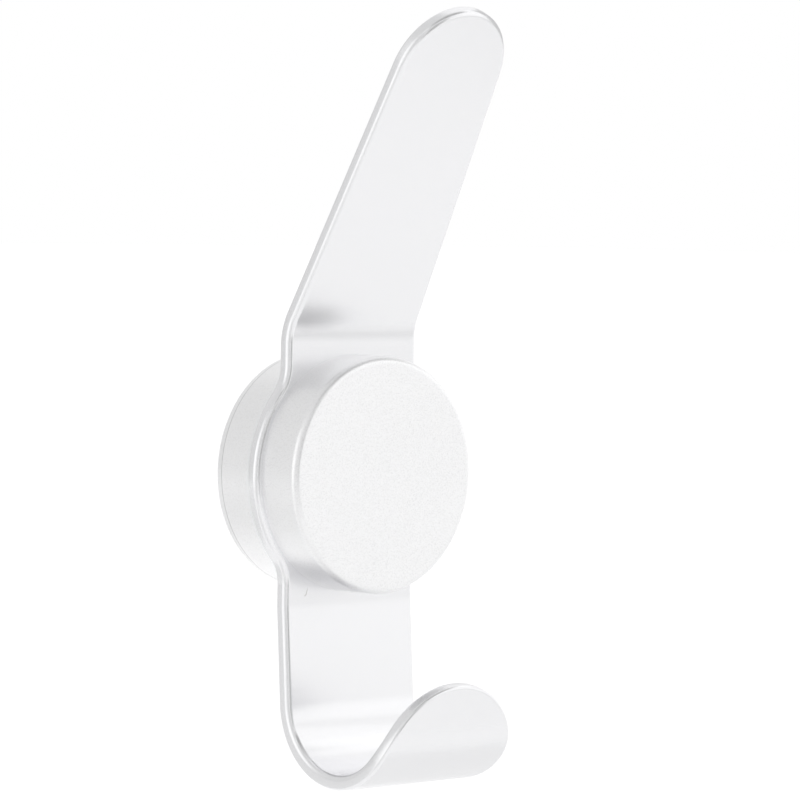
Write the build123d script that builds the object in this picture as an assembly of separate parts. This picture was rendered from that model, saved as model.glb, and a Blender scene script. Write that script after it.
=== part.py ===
from build123d import *
from math import asin, cos, hypot, isclose, radians, sin, tan
import os

# A wall-mounted double hook: a bent metal leaf clamped between a round base and a round cap.
# The origin is the centre of the base's wall face. +Z is up, and the hook reaches out along -Y.

# Driving dimensions in millimetres and degrees
base_diameter = 40.0
base_depth = 9.2
base_back_taper_depth = 1.2
base_back_taper_inset = 0.15
base_front_chamfer = 0.3
base_floor_thickness = 2.7
cap_diameter = 40.0
cap_depth = 8.35
cap_rim_round = 1.1
cap_face_thickness = 2.85

leaf_thickness = 2.5
leaf_width = 29.0
leaf_front_edge_round = 0.6
leaf_back_edge_chamfer = 0.4
disc_overhang = 1.3
neck_round = 7.0

arm_bend_clear_of_disc = 0.8
arm_bend_radius = 8.5
arm_tilt = 28.2
arm_length = 57.8
arm_tip_diameter = 23.0
arm_taper_round = 30.0

hook_lean = 3.8
hook_lean_clear_of_disc = 0.3
hook_lean_radius = 20.0
hook_drop = 15.4
hook_radius = 11.5
hook_sweep = 162.2
lip_length = 7.4

stud_diameter = 6.0
stud_point_chamfer = 0.6
stud_socket_size = 3.0
stud_socket_depth = 3.0

screw_spacing = 22.0
screw_hole_diameter = 4.5
screw_head_diameter = 9.0

# Clearances, each on the radius or on one end
thread_clearance = 0.05
leaf_hole_clearance = 0.3
stud_end_clearance = 0.5

# Places along Y of the faces where the pieces meet
leaf_back = -base_depth
leaf_middle = leaf_back - leaf_thickness / 2
leaf_front = leaf_back - leaf_thickness

os.makedirs("parts", exist_ok=True)


def facing_out(depth):
    """A sketch plane parallel to the wall at this Y, seen from the front: X right, Z up, normal along -Y."""
    return Plane(origin=(0, depth, 0), x_dir=(1, 0, 0), z_dir=(0, -1, 0))


# Wall base: a turned puck with a blind tapped hole for the stud and two countersunk holes for wall screws
base_radius = base_diameter / 2
stud_hole_radius = stud_diameter / 2 + thread_clearance
countersink_depth = (screw_head_diameter - screw_hole_diameter) / 2

base_section = Polyline(
    (0, 0),
    (base_radius - base_back_taper_inset, 0),
    (base_radius, -base_back_taper_depth),
    (base_radius, leaf_back + base_front_chamfer),
    (base_radius - base_front_chamfer, leaf_back),
    (0, leaf_back),
    close=True,
)
wall_base = revolve(make_face(base_section), Axis.Y)
wall_base -= extrude(
    facing_out(-base_floor_thickness) * Circle(stud_hole_radius),
    amount=base_depth - base_floor_thickness,
)
for side in (-1, 1):
    screw_place = Location((0, side * screw_spacing / 2))
    wall_base -= extrude(facing_out(0) * screw_place * Circle(screw_hole_diameter / 2), amount=base_depth)
    head_seat = extrude(
        facing_out(leaf_back) * screw_place * Circle(screw_head_diameter / 2),
        amount=-countersink_depth,
        taper=45,
    )
    wall_base -= head_seat

# Clamp stud: a set screw that stands on the bottom of the base's hole and carries the cap
cap_front = leaf_front - cap_depth
stud_bottom = -base_floor_thickness
stud_top = cap_front + cap_face_thickness + stud_end_clearance

clamp_stud = extrude(facing_out(stud_bottom) * Circle(stud_diameter / 2), amount=stud_bottom - stud_top)
point_rim = clamp_stud.edges().filter_by(GeomType.CIRCLE).sort_by(Axis.Y)[-1]
clamp_stud = chamfer(point_rim, stud_point_chamfer)
socket = RegularPolygon(stud_socket_size / 2, 6, major_radius=False)
clamp_stud -= extrude(facing_out(stud_top) * socket, amount=-stud_socket_depth)

# Hook leaf: the side view's middle line, drawn as horizontal Y and vertical Z
arm_bend_middle = arm_bend_radius + leaf_thickness / 2
lean_bend_middle = hook_lean_radius + leaf_thickness / 2
hook_middle = hook_radius + leaf_thickness / 2
disc_radius = cap_diameter / 2 + disc_overhang
arm_bend_height = disc_radius + arm_bend_clear_of_disc
hook_lean_height = disc_radius + hook_lean_clear_of_disc
rise = Line((leaf_middle, 0), (leaf_middle, arm_bend_height))
arm_bend = JernArc(rise @ 1, rise % 1, arm_bend_middle, arm_tilt)
arm_run = Line(arm_bend @ 1, arm_bend @ 1 + arm_length * (arm_bend % 1))
fall = Line((leaf_middle, 0), (leaf_middle, -hook_lean_height))
lean_bend = JernArc(fall @ 1, fall % 1, lean_bend_middle, -hook_lean)
drop = Line(lean_bend @ 1, lean_bend @ 1 + hook_drop * (lean_bend % 1))
hook_bend = JernArc(drop @ 1, drop % 1, hook_middle, -hook_sweep)
lip_run = Line(hook_bend @ 1, hook_bend @ 1 + lip_length * (hook_bend % 1))
side_view = trace([rise, arm_bend, arm_run], leaf_thickness)
side_view += trace([fall, lean_bend, drop, hook_bend, lip_run], leaf_thickness)

hook_strip = extrude(Plane.YZ * side_view, amount=leaf_width / 2, both=True)

# Middle disc, joined to the leaf's straight edges by concave neck rounds
neck_height = min(arm_bend_height, hook_lean_height)
disc_outline = Circle(disc_radius) + Rectangle(leaf_width, 2 * neck_height)
corner_rows = disc_outline.vertices().group_by(Axis.Y)
disc_outline = fillet(corner_rows[1] + corner_rows[-2], neck_round)
hook_strip += extrude(facing_out(leaf_back) * disc_outline, amount=leaf_thickness)


def plane_along(run):
    """The leaf's middle plane at the start of a straight run of the side view, with Y along the run."""
    start = run @ 0
    heading = run % 0
    return Plane(
        origin=(0, start.X, start.Y),
        x_dir=(1, 0, 0),
        z_dir=(0, -heading.Y, heading.X),
    )


def trim_to(outline, region, run, depth):
    """What lies outside an outline on a straight run of the leaf, within a region of the run's plane."""
    return extrude(plane_along(run) * (region - outline), amount=depth, both=True)


# Upper arm: its edges taper in from the bend and meet the round end in tangents
half_width = leaf_width / 2
tip_radius = arm_tip_diameter / 2
tip_centre = arm_length - tip_radius
taper_start = -arm_bend_middle * sin(radians(arm_tilt))
taper_run_in = 1.2
taper_reach = hypot(half_width, tip_centre - taper_start)
taper_angle = asin(half_width / taper_reach) - asin(tip_radius / taper_reach)
taper_foot = taper_start - taper_run_in * arm_taper_round * tan(taper_angle / 2)
touch_x = tip_radius * cos(taper_angle)
touch_y = tip_centre + tip_radius * sin(taper_angle)
arm_sides = Polyline(
    (-touch_x, touch_y),
    (-half_width, taper_start),
    (-half_width, taper_foot),
    (half_width, taper_foot),
    (half_width, taper_start),
    (touch_x, touch_y),
)
arm_end = ThreePointArc((touch_x, touch_y), (0, arm_length), (-touch_x, touch_y))
arm_outline = make_face([arm_sides, arm_end])
taper_corners = arm_outline.vertices().group_by(Axis.Y)[1]
arm_outline = fillet(taper_corners, arm_taper_round)
arm_region = Pos(0, taper_foot) * Rectangle(
    leaf_width + leaf_thickness,
    arm_length + leaf_thickness - taper_foot,
    align=(Align.CENTER, Align.MIN),
)
hook_strip -= trim_to(arm_outline, arm_region, arm_run, 2 * leaf_thickness)

# Lower hook: a full-round lip as wide as the leaf
lip_centre = lip_length - half_width
lip_outline = Pos(0, lip_centre) * Circle(half_width)
lip_region = Pos(0, lip_centre) * Rectangle(
    leaf_width + leaf_thickness,
    half_width + leaf_thickness,
    align=(Align.CENTER, Align.MIN),
)
hook_strip -= trim_to(lip_outline, lip_region, lip_run, hook_radius)

# The outline is tangent all the way around, so what starts on the disc's rim follows the whole edge
def disc_rims():
    """The disc's round edges, from the front of the leaf to its back."""
    rims = hook_strip.edges().filter_by(GeomType.CIRCLE)
    return rims.filter_by(lambda rim: isclose(rim.radius, disc_radius)).group_by(Axis.Y)


hook_strip = fillet(disc_rims()[0], leaf_front_edge_round)
hook_strip = chamfer(disc_rims()[-1], leaf_back_edge_chamfer)
hook_strip -= extrude(
    facing_out(leaf_back) * Circle(stud_diameter / 2 + leaf_hole_clearance),
    amount=leaf_thickness,
)

# Front cap: a turned puck with a rounded front rim and a blind tapped hole in its back
front_cap = extrude(facing_out(leaf_front) * Circle(cap_diameter / 2), amount=cap_depth)
front_rim = front_cap.edges().filter_by(GeomType.CIRCLE).sort_by(Axis.Y)[0]
front_cap = fillet(front_rim, cap_rim_round)
front_cap -= extrude(
    facing_out(leaf_front) * Circle(stud_hole_radius),
    amount=cap_depth - cap_face_thickness,
)

export_step(wall_base, "parts/wall_base.step")
export_step(clamp_stud, "parts/clamp_stud.step")
export_step(hook_strip, "parts/hook_strip.step")
export_step(front_cap, "parts/front_cap.step")
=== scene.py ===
from math import acos, asin, cos, radians, sin

import bmesh
import bpy
from mathutils import Euler, Matrix, Vector


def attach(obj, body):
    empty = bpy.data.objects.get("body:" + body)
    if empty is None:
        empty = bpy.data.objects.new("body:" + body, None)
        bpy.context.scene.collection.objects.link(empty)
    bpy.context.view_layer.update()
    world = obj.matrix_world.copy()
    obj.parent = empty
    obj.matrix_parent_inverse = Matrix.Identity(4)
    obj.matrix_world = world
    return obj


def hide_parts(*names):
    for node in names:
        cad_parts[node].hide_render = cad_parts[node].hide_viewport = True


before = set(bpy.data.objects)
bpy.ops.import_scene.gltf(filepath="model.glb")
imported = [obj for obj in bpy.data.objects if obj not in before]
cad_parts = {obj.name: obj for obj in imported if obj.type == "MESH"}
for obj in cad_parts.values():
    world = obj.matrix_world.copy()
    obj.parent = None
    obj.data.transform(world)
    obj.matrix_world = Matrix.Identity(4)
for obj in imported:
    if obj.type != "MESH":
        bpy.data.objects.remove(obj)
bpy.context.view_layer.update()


# Wall base: a turned metal puck that two screws hold flat on the wall, with the stud screwed into its front.
# It has a satin silver finish, blasted to a fine matt grain before it was plated.
# A fine crease sets off a narrow band next to the wall. Its dark line is painted shade: a grey line in the
# colour at the taper's edge, standing in for the shade in the crease.
crease_depth = -0.0012
painted_crease_half_width = 0.00008

puck_satin = bpy.data.materials.new("satin_silver_fine_grain")
puck_satin.use_nodes = True
puck_nodes = puck_satin.node_tree.nodes
puck_links = puck_satin.node_tree.links
puck_shader = puck_nodes["Principled BSDF"]
puck_shader.inputs["Metallic"].default_value = 1.0
puck_place = puck_nodes.new("ShaderNodeTexCoord")

puck_grain = puck_nodes.new("ShaderNodeTexNoise")
puck_grain.inputs["Scale"].default_value = 7200.0
puck_grain.inputs["Detail"].default_value = 2.0
puck_grain.inputs["Roughness"].default_value = 0.6
puck_links.new(puck_place.outputs["Object"], puck_grain.inputs["Vector"])
puck_dents = puck_nodes.new("ShaderNodeBump")
puck_dents.inputs["Strength"].default_value = 0.12
puck_dents.inputs["Distance"].default_value = 0.00004
puck_links.new(puck_grain.outputs["Fac"], puck_dents.inputs["Height"])
puck_links.new(puck_dents.outputs["Normal"], puck_shader.inputs["Normal"])

puck_clouds = puck_nodes.new("ShaderNodeTexNoise")
puck_clouds.inputs["Scale"].default_value = 160.0
puck_clouds.inputs["Detail"].default_value = 3.0
puck_links.new(puck_place.outputs["Object"], puck_clouds.inputs["Vector"])
puck_sheen = puck_nodes.new("ShaderNodeMapRange")
puck_sheen.inputs["From Min"].default_value = 0.3
puck_sheen.inputs["From Max"].default_value = 0.7
puck_sheen.inputs["To Min"].default_value = 0.36
puck_sheen.inputs["To Max"].default_value = 0.4
puck_links.new(puck_clouds.outputs["Fac"], puck_sheen.inputs["Value"])
puck_links.new(puck_sheen.outputs["Result"], puck_shader.inputs["Roughness"])

puck_tone = puck_nodes.new("ShaderNodeValToRGB")
puck_tone.color_ramp.elements[0].position = 0.34
puck_tone.color_ramp.elements[0].color = (0.83, 0.83, 0.835, 1)
puck_tone.color_ramp.elements[1].position = 0.68
puck_tone.color_ramp.elements[1].color = (0.99, 0.99, 0.995, 1)
puck_ground = puck_tone.color_ramp.elements.new(0.5)
puck_ground.color = (0.975, 0.975, 0.98, 1)
puck_links.new(puck_grain.outputs["Fac"], puck_tone.inputs["Fac"])
puck_depth = puck_nodes.new("ShaderNodeSeparateXYZ")
puck_links.new(puck_place.outputs["Object"], puck_depth.inputs["Vector"])
# Painted shade: a thin grey line at the crease's depth on the base, in place of the shade that falls in the
# crease.
painted_crease_shade = puck_nodes.new("ShaderNodeMath")
painted_crease_shade.operation = "COMPARE"
painted_crease_shade.inputs[1].default_value = crease_depth
painted_crease_shade.inputs[2].default_value = painted_crease_half_width
puck_links.new(puck_depth.outputs["Y"], painted_crease_shade.inputs[0])
# The grain tone and the painted crease shade are mixed into the puck's colour here.
puck_colour = puck_nodes.new("ShaderNodeMixRGB")
puck_colour.inputs["Color2"].default_value = (0.64, 0.64, 0.64, 1)
puck_links.new(painted_crease_shade.outputs["Value"], puck_colour.inputs["Fac"])
puck_links.new(puck_tone.outputs["Color"], puck_colour.inputs["Color1"])
puck_links.new(puck_colour.outputs["Color"], puck_shader.inputs["Base Color"])

base_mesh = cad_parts["wall_base"].data
base_mesh.materials.clear()
base_mesh.materials.append(puck_satin)


# Clamp stud: a plain steel set screw, out of sight, that joins the base and the cap through the leaf.
# It is turned, so fine rings run around it.
stud_steel = bpy.data.materials.new("turned_steel")
stud_steel.use_nodes = True
stud_nodes = stud_steel.node_tree.nodes
stud_links = stud_steel.node_tree.links
stud_shader = stud_nodes["Principled BSDF"]
stud_shader.inputs["Base Color"].default_value = (0.6, 0.6, 0.61, 1)
stud_shader.inputs["Metallic"].default_value = 1.0
stud_place = stud_nodes.new("ShaderNodeTexCoord")
stud_rings = stud_nodes.new("ShaderNodeTexWave")
stud_rings.bands_direction = "Y"
stud_rings.inputs["Scale"].default_value = 1500.0
stud_rings.inputs["Distortion"].default_value = 0.4
stud_links.new(stud_place.outputs["Object"], stud_rings.inputs["Vector"])
stud_gloss = stud_nodes.new("ShaderNodeMapRange")
stud_gloss.inputs["To Min"].default_value = 0.3
stud_gloss.inputs["To Max"].default_value = 0.42
stud_links.new(stud_rings.outputs["Fac"], stud_gloss.inputs["Value"])
stud_links.new(stud_gloss.outputs["Result"], stud_shader.inputs["Roughness"])

stud_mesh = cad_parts["clamp_stud"].data
stud_mesh.materials.clear()
stud_mesh.materials.append(stud_steel)


# Hook leaf: one sheet of metal, cut out with a round end, a middle disc and a round lip, its edges rounded
# over, then bent into the upper arm and the lower hook. The disc is clamped between the base and the cap.
# Its satin silver finish is smoother than the pucks', with a faint grain.
leaf_half = 0.0145
leaf_thickness = 0.0025
leaf_front_round = 0.001
leaf_back_round = 0.0006
leaf_middle = -0.01045
disc_radius = 0.0213
neck_round = 0.007
stud_hole_radius = 0.0033
arm_bend_start = 0.0221
arm_bend_radius = 0.00975
arm_tilt = radians(28.2)
arm_run = 0.0578
arm_tip_radius = 0.0115
lean_start = 0.0216
lean_radius = 0.02125
lean_tilt = radians(3.8)
drop_run = 0.0154
hook_radius = 0.01275
hook_sweep = radians(162.2)
lip_run = 0.0074
tip_steps = 28
neck_steps = 10
disc_steps = 28
lip_steps = 36
hole_steps = 20
rim_steps = 6
arm_scores = 16
lean_scores = 4
hook_scores = 64
weld_reach = 1e-6

leaf_front = leaf_middle - leaf_thickness / 2
arm_end = arm_bend_start + arm_bend_radius * arm_tilt + arm_run
arm_tip_centre = arm_end - arm_tip_radius
hook_start = lean_start + lean_radius * lean_tilt + drop_run
lip_start = hook_start + hook_radius * hook_sweep
lip_centre = lip_start + lip_run - leaf_half
neck_x = leaf_half + neck_round
neck_y = ((disc_radius + neck_round) ** 2 - neck_x ** 2) ** 0.5
neck_turn = acos(neck_x / (disc_radius + neck_round))
taper_reach = Vector((leaf_half, arm_tip_centre - arm_bend_start)).length
taper_turn = asin(leaf_half / taper_reach) - asin(arm_tip_radius / taper_reach)

# The right half of the flat blank is drawn around from the tip, with a vertex spun through each arc.
leaf_shape = bmesh.new()


def blank_arc(start, centre, turn, steps):
    spun = bmesh.ops.spin(
        leaf_shape, geom=[start], cent=(*centre, 0), axis=(0, 0, 1), angle=turn, steps=steps,
    )
    return spun["geom_last"][0]


def blank_line(start, end):
    corner = leaf_shape.verts.new((*end, 0))
    leaf_shape.edges.new((start, corner))
    return corner


tip = leaf_shape.verts.new((0, arm_end, 0))
corner = blank_arc(tip, (0, arm_tip_centre), taper_turn - radians(90), tip_steps)
corner = blank_line(corner, (leaf_half, arm_bend_start))
corner = blank_line(corner, (leaf_half, neck_y))
corner = blank_arc(corner, (neck_x, neck_y), neck_turn, neck_steps)
corner = blank_arc(corner, (0, 0), -2 * neck_turn, disc_steps)
corner = blank_arc(corner, (neck_x, -neck_y), neck_turn, neck_steps)
corner = blank_line(corner, (leaf_half, -lip_centre))
corner = blank_arc(corner, (0, -lip_centre), radians(-90), lip_steps)
corner = blank_line(corner, (0, -stud_hole_radius))
corner = blank_arc(corner, (0, 0), radians(180), hole_steps)
leaf_shape.edges.new((corner, tip))
bmesh.ops.contextual_create(leaf_shape, geom=leaf_shape.edges[:])
bmesh.ops.mirror(
    leaf_shape, geom=leaf_shape.verts[:] + leaf_shape.edges[:] + leaf_shape.faces[:],
    axis="X", merge_dist=weld_reach,
)

# The blank gets the sheet's thickness, and both rims of its outline are rounded over.
bmesh.ops.translate(leaf_shape, verts=leaf_shape.verts, vec=(0, 0, -leaf_thickness / 2))
raised = bmesh.ops.extrude_face_region(leaf_shape, geom=leaf_shape.faces[:], use_keep_orig=True)
raised_corners = [part for part in raised["geom"] if isinstance(part, bmesh.types.BMVert)]
bmesh.ops.translate(leaf_shape, verts=raised_corners, vec=(0, 0, leaf_thickness))
bmesh.ops.recalc_face_normals(leaf_shape, faces=leaf_shape.faces)
face_height = 0.49 * leaf_thickness
rim_angle = radians(45)
for side, edge_round in ((1, leaf_front_round), (-1, leaf_back_round)):
    outline_rim = [
        edge for edge in leaf_shape.edges
        if min(side * corner.co.z for corner in edge.verts) > face_height
        and edge.calc_face_angle() > rim_angle
        and edge.verts[0].co.xy.length > 2 * stud_hole_radius
    ]
    bmesh.ops.bevel(
        leaf_shape, geom=outline_rim, offset=edge_round, offset_type="OFFSET", affect="EDGES",
        segments=rim_steps, profile=0.5, material=-1,
    )

# The blank is scored across at each bend and then bent, with Y along the blank and Z towards the front.
for bend_start, bend_length, scores in (
    (arm_bend_start, arm_bend_radius * arm_tilt, arm_scores),
    (-lean_start, -lean_radius * lean_tilt, lean_scores),
    (-hook_start, -hook_radius * hook_sweep, hook_scores),
):
    for score in range(scores + 1):
        bmesh.ops.bisect_plane(
            leaf_shape, geom=leaf_shape.verts[:] + leaf_shape.edges[:] + leaf_shape.faces[:],
            dist=weld_reach, plane_co=(0, bend_start + bend_length * score / scores, 0), plane_no=(0, 1, 0),
        )
for corner in leaf_shape.verts:
    across, along, height = corner.co
    if along >= 0:
        bent = min(max(along - arm_bend_start, 0) / arm_bend_radius, arm_tilt)
        run = max(along - arm_bend_start - arm_bend_radius * arm_tilt, 0)
        out = leaf_middle - arm_bend_radius * (1 - cos(bent)) - run * sin(bent)
        up = min(along, arm_bend_start) + arm_bend_radius * sin(bent) + run * cos(bent)
        corner.co = (across, out - height * cos(bent), up - height * sin(bent))
    else:
        along = -along
        leant = min(max(along - lean_start, 0) / lean_radius, lean_tilt)
        drop = min(max(along - lean_start - lean_radius * lean_tilt, 0), drop_run)
        curled = min(max(along - hook_start, 0) / hook_radius, hook_sweep)
        run = max(along - lip_start, 0)
        turned = leant + curled
        out = leaf_middle - lean_radius * (1 - cos(leant)) - drop * sin(leant)
        up = -min(along, lean_start) - lean_radius * sin(leant) - drop * cos(leant)
        out += -hook_radius * (cos(leant) - cos(turned)) - run * sin(turned)
        up += -hook_radius * (sin(turned) - sin(leant)) - run * cos(turned)
        corner.co = (across, out - height * cos(turned), up + height * sin(turned))
bmesh.ops.recalc_face_normals(leaf_shape, faces=leaf_shape.faces)
leaf_mesh = bpy.data.meshes.new("hook_leaf")
leaf_shape.to_mesh(leaf_mesh)
leaf_shape.free()
leaf_mesh.shade_smooth()
hook_leaf = bpy.data.objects.new("hook_leaf", leaf_mesh)
bpy.context.scene.collection.objects.link(hook_leaf)
leaf_normals = hook_leaf.modifiers.new("flat_faces_stay_flat", "WEIGHTED_NORMAL")
leaf_normals.weight = 100
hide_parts("hook_strip")
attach(hook_leaf, "root")

leaf_satin = bpy.data.materials.new("satin_silver_sheet")
leaf_satin.use_nodes = True
leaf_nodes = leaf_satin.node_tree.nodes
leaf_links = leaf_satin.node_tree.links
leaf_shader = leaf_nodes["Principled BSDF"]
leaf_shader.inputs["Metallic"].default_value = 1.0
leaf_place = leaf_nodes.new("ShaderNodeTexCoord")

leaf_grain = leaf_nodes.new("ShaderNodeTexNoise")
leaf_grain.inputs["Scale"].default_value = 4000.0
leaf_grain.inputs["Detail"].default_value = 2.0
leaf_links.new(leaf_place.outputs["Object"], leaf_grain.inputs["Vector"])
leaf_tone = leaf_nodes.new("ShaderNodeValToRGB")
leaf_tone.color_ramp.elements[0].position = 0.3
leaf_tone.color_ramp.elements[0].color = (0.885, 0.885, 0.9, 1)
leaf_tone.color_ramp.elements[1].position = 0.7
leaf_tone.color_ramp.elements[1].color = (0.92, 0.92, 0.93, 1)
leaf_links.new(leaf_grain.outputs["Fac"], leaf_tone.inputs["Fac"])

# A short dust hair clings to the leaf's front just below the cap, near its left edge. Its points are given
# across and up, and the colour changes within half the hair's width of the nearest one.
hair_width = 0.00018
hair_points = (
    (-0.00967, -0.01938), (-0.00975, -0.01958), (-0.00981, -0.01978), (-0.00984, -0.01998),
    (-0.00989, -0.02018), (-0.01004, -0.02031), (-0.01022, -0.0204),
)
hair_reach = None
for hair_across, hair_up in hair_points:
    point_reach = leaf_nodes.new("ShaderNodeVectorMath")
    point_reach.operation = "DISTANCE"
    point_reach.inputs[1].default_value = (hair_across, leaf_front, hair_up)
    leaf_links.new(leaf_place.outputs["Object"], point_reach.inputs[0])
    nearer = leaf_nodes.new("ShaderNodeMath")
    nearer.operation = "MINIMUM"
    nearer.inputs[0].default_value = 1.0
    if hair_reach:
        leaf_links.new(hair_reach.outputs["Value"], nearer.inputs[0])
    leaf_links.new(point_reach.outputs["Value"], nearer.inputs[1])
    hair_reach = nearer
on_hair = leaf_nodes.new("ShaderNodeMath")
on_hair.operation = "LESS_THAN"
on_hair.inputs[1].default_value = hair_width / 2
leaf_links.new(hair_reach.outputs["Value"], on_hair.inputs[0])
leaf_colour = leaf_nodes.new("ShaderNodeMixRGB")
leaf_colour.inputs["Color2"].default_value = (0.6, 0.59, 0.57, 1)
leaf_links.new(on_hair.outputs["Value"], leaf_colour.inputs["Fac"])
leaf_links.new(leaf_tone.outputs["Color"], leaf_colour.inputs["Color1"])
leaf_links.new(leaf_colour.outputs["Color"], leaf_shader.inputs["Base Color"])

leaf_clouds = leaf_nodes.new("ShaderNodeTexNoise")
leaf_clouds.inputs["Scale"].default_value = 90.0
leaf_clouds.inputs["Detail"].default_value = 3.0
leaf_links.new(leaf_place.outputs["Object"], leaf_clouds.inputs["Vector"])
leaf_sheen = leaf_nodes.new("ShaderNodeMapRange")
leaf_sheen.inputs["From Min"].default_value = 0.3
leaf_sheen.inputs["From Max"].default_value = 0.7
leaf_sheen.inputs["To Min"].default_value = 0.24
leaf_sheen.inputs["To Max"].default_value = 0.27
leaf_links.new(leaf_clouds.outputs["Fac"], leaf_sheen.inputs["Value"])
leaf_links.new(leaf_sheen.outputs["Result"], leaf_shader.inputs["Roughness"])

leaf_mesh.materials.append(leaf_satin)


# Front cap: a turned metal puck, screwed onto the stud, with a rounded front rim.
# It has the base's blasted and plated finish.
cap_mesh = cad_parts["front_cap"].data
cap_mesh.materials.clear()
cap_mesh.materials.append(puck_satin)


# Camera: a long lens a little above the hook's middle and to the left of its front.
# It is turned slightly on its axis, as the photograph is.
camera_place = Vector((-0.473107, -0.535901, 0.044128))
camera_aim = Vector((0.006292, -0.016636, 0.012418))
camera_roll = radians(0.896)
back = (camera_place - camera_aim).normalized()
right = Vector((0, 0, 1)).cross(back).normalized()
up = back.cross(right)
rolled_right = cos(camera_roll) * right + sin(camera_roll) * up
rolled_up = cos(camera_roll) * up - sin(camera_roll) * right
lens = bpy.data.cameras.new("photo_camera")
lens.sensor_width = 36
lens.lens = 187.9
camera = bpy.data.objects.new("photo_camera", lens)
camera_turn = Matrix((rolled_right, rolled_up, back)).transposed().to_4x4()
camera.matrix_world = Matrix.Translation(camera_place) @ camera_turn
bpy.context.scene.collection.objects.link(camera)
bpy.context.scene.camera = camera


# Floor: a wide white studio floor below the hook, which takes its soft shadow.
# The camera sees it a little lighter than the metal mirrors it.
floor_half = 30
floor_level = -0.3

floor_mesh = bpy.data.meshes.new("floor")
floor_shape = bmesh.new()
bmesh.ops.create_grid(floor_shape, x_segments=1, y_segments=1, size=floor_half)
bmesh.ops.translate(floor_shape, verts=floor_shape.verts, vec=(0, 0, floor_level))
floor_shape.to_mesh(floor_mesh)
floor_shape.free()
floor = bpy.data.objects.new("floor", floor_mesh)
bpy.context.scene.collection.objects.link(floor)
floor_white = bpy.data.materials.new("floor_white")
floor_white.use_nodes = True
floor_nodes = floor_white.node_tree.nodes
floor_links = floor_white.node_tree.links
floor_shader = floor_nodes["Principled BSDF"]
floor_shader.inputs["Roughness"].default_value = 0.9
floor_shader.inputs["Specular IOR Level"].default_value = 0
floor_rays = floor_nodes.new("ShaderNodeLightPath")
floor_tone = floor_nodes.new("ShaderNodeMapRange")
floor_tone.inputs["To Min"].default_value = 0.87
floor_tone.inputs["To Max"].default_value = 0.95
floor_links.new(floor_rays.outputs["Is Camera Ray"], floor_tone.inputs["Value"])
floor_links.new(floor_tone.outputs["Result"], floor_shader.inputs["Base Color"])
floor_mesh.materials.append(floor_white)


# Studio cards: plain panels, out of the camera's sight, whose greys the metal mirrors beside the white tent.
# Each faces the hook from some way off, so many degrees around from the hook's front towards its left and so
# many above the level, and shades from its lower edge to its upper edge.
def studio_card(name, around, above, reach, width, tall, low_level, high_level):
    card_mesh = bpy.data.meshes.new(name)
    card_shape = bmesh.new()
    bmesh.ops.create_grid(card_shape, x_segments=1, y_segments=1, size=0.5)
    bmesh.ops.scale(card_shape, verts=card_shape.verts, vec=(width, tall, 1))
    bmesh.ops.translate(card_shape, verts=card_shape.verts, vec=(0, 0, -reach))
    turn = Euler((radians(-90 - above), 0, radians(-around)), "XYZ").to_matrix()
    bmesh.ops.rotate(card_shape, verts=card_shape.verts, matrix=turn)
    heights = [corner.co.z for corner in card_shape.verts]
    card_shape.to_mesh(card_mesh)
    card_shape.free()
    card_grey = bpy.data.materials.new(name)
    card_grey.use_nodes = True
    card_nodes = card_grey.node_tree.nodes
    card_links = card_grey.node_tree.links
    card_shader = card_nodes["Principled BSDF"]
    card_shader.inputs["Base Color"].default_value = (0, 0, 0, 1)
    card_shader.inputs["Specular IOR Level"].default_value = 0
    card_shader.inputs["Emission Color"].default_value = (1, 1, 1, 1)
    card_place = card_nodes.new("ShaderNodeTexCoord")
    card_height = card_nodes.new("ShaderNodeSeparateXYZ")
    card_links.new(card_place.outputs["Object"], card_height.inputs["Vector"])
    card_shade = card_nodes.new("ShaderNodeMapRange")
    card_shade.inputs["From Min"].default_value = min(heights)
    card_shade.inputs["From Max"].default_value = max(heights)
    card_shade.inputs["To Min"].default_value = low_level
    card_shade.inputs["To Max"].default_value = high_level
    card_links.new(card_height.outputs["Z"], card_shade.inputs["Value"])
    card_links.new(card_shade.outputs["Result"], card_shader.inputs["Emission Strength"])
    card_mesh.materials.append(card_grey)
    card = bpy.data.objects.new(name, card_mesh)
    bpy.context.scene.collection.objects.link(card)
    card.visible_camera = False
    card.visible_diffuse = False
    card.visible_shadow = False


# Name, degrees around, degrees above, reach, width, height, level at the lower edge, level at the upper edge
studio_card("front_flag", 5, 8, 2.0, 1.0, 1.8, 0.32, 0.56)
studio_card("front_left_card", 47, 12, 2.0, 1.6, 2.0, 0.72, 0.72)
studio_card("left_front_low_card", 62, -14, 0.6, 0.4, 0.17, 0.76, 0.76)
studio_card("left_floor_card", 74, -42, 0.34, 0.24, 0.18, 0.84, 0.84)
studio_card("left_box", 104, 0, 2.0, 1.1, 1.8, 1.16, 1.16)
studio_card("left_back_card", 152, 20, 2.0, 2.1, 3.0, 0.68, 0.76)
studio_card("left_low_card", 154, -30, 0.47, 0.58, 0.3, 0.76, 0.83)
studio_card("back_low_box", -147, -46, 0.36, 0.19, 0.16, 1.12, 1.12)
studio_card("right_back_card", -152, 16, 2.0, 1.6, 2.0, 0.85, 0.78)
studio_card("right_low_card", -128, -13, 0.6, 0.6, 0.18, 0.85, 0.85)
studio_card("right_box", -88, 4, 2.0, 1.4, 1.3, 1.04, 1.04)
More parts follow.
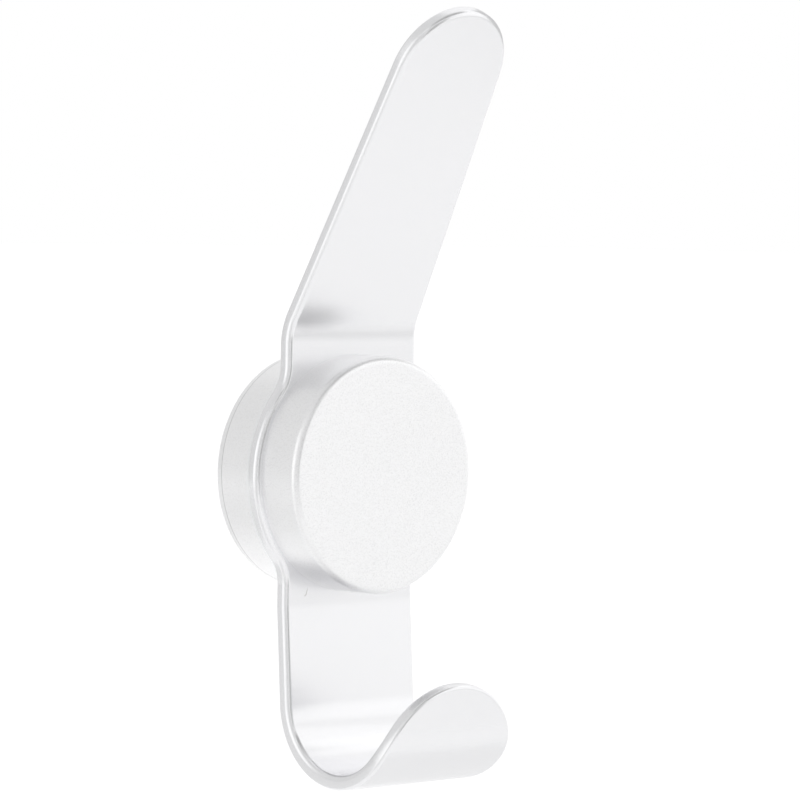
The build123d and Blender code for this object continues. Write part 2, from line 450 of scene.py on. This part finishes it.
studio_card("front_right_box", -50, 23.5, 2.0, 1.7, 1.45, 1.1, 1.1)
studio_card("front_right_strip", -42, -1.5, 2.0, 0.8, 0.35, 1.03, 1.03)
studio_card("near_front_flag", -44, 6.7, 0.12, 0.08, 0.016, 0.93, 0.93)
studio_card("front_right_flag", -46, -13, 0.9, 0.7, 0.14, 0.79, 0.79)
studio_card("low_front_card", -44, -25, 0.62, 0.34, 0.18, 0.95, 0.95)
studio_card("low_lip_card", -98, -46, 0.33, 0.3, 0.16, 0.88, 0.92)
studio_card("top_front_card", -4, 62, 2.0, 2.1, 1.3, 0.22, 0.72)
studio_card("near_top_flag", -54, 52, 0.1, 0.045, 0.06, 0.6, 0.6)
studio_card("right_top_box", -78, 48, 2.0, 0.9, 0.8, 1.2, 1.2)
studio_card("top_right_box", -115, 55, 2.0, 1.8, 1.8, 1.0, 1.0)
studio_card("ceiling_card", 110, 72, 2.0, 2.6, 2.4, 0.72, 0.72)


# Light: a white tent all around, which the metal mirrors, and a wide soft lamp above that gives the shadow.
# The tent lights the floor less than the metal, so that the shadow stays.
tent = bpy.data.worlds.new("white_tent")
tent.use_nodes = True
tent_nodes = tent.node_tree.nodes
tent_links = tent.node_tree.links
tent_rays = tent_nodes.new("ShaderNodeLightPath")
tent_level = tent_nodes.new("ShaderNodeMapRange")
tent_level.inputs["To Min"].default_value = 1.0
tent_level.inputs["To Max"].default_value = 0.7
tent_links.new(tent_rays.outputs["Is Diffuse Ray"], tent_level.inputs["Value"])
tent_nodes["Background"].inputs["Color"].default_value = (1, 1, 1, 1)
tent_links.new(tent_level.outputs["Result"], tent_nodes["Background"].inputs["Strength"])
bpy.context.scene.world = tent
lamp = bpy.data.lights.new("soft_lamp", "SUN")
lamp.energy = 1.4
lamp.angle = radians(70)
soft_lamp = bpy.data.objects.new("soft_lamp", lamp)
soft_lamp.rotation_euler = (radians(12), radians(-8), 0)
soft_lamp.visible_glossy = False
bpy.context.scene.collection.objects.link(soft_lamp)
bpy.context.scene.view_settings.view_transform = "Standard"
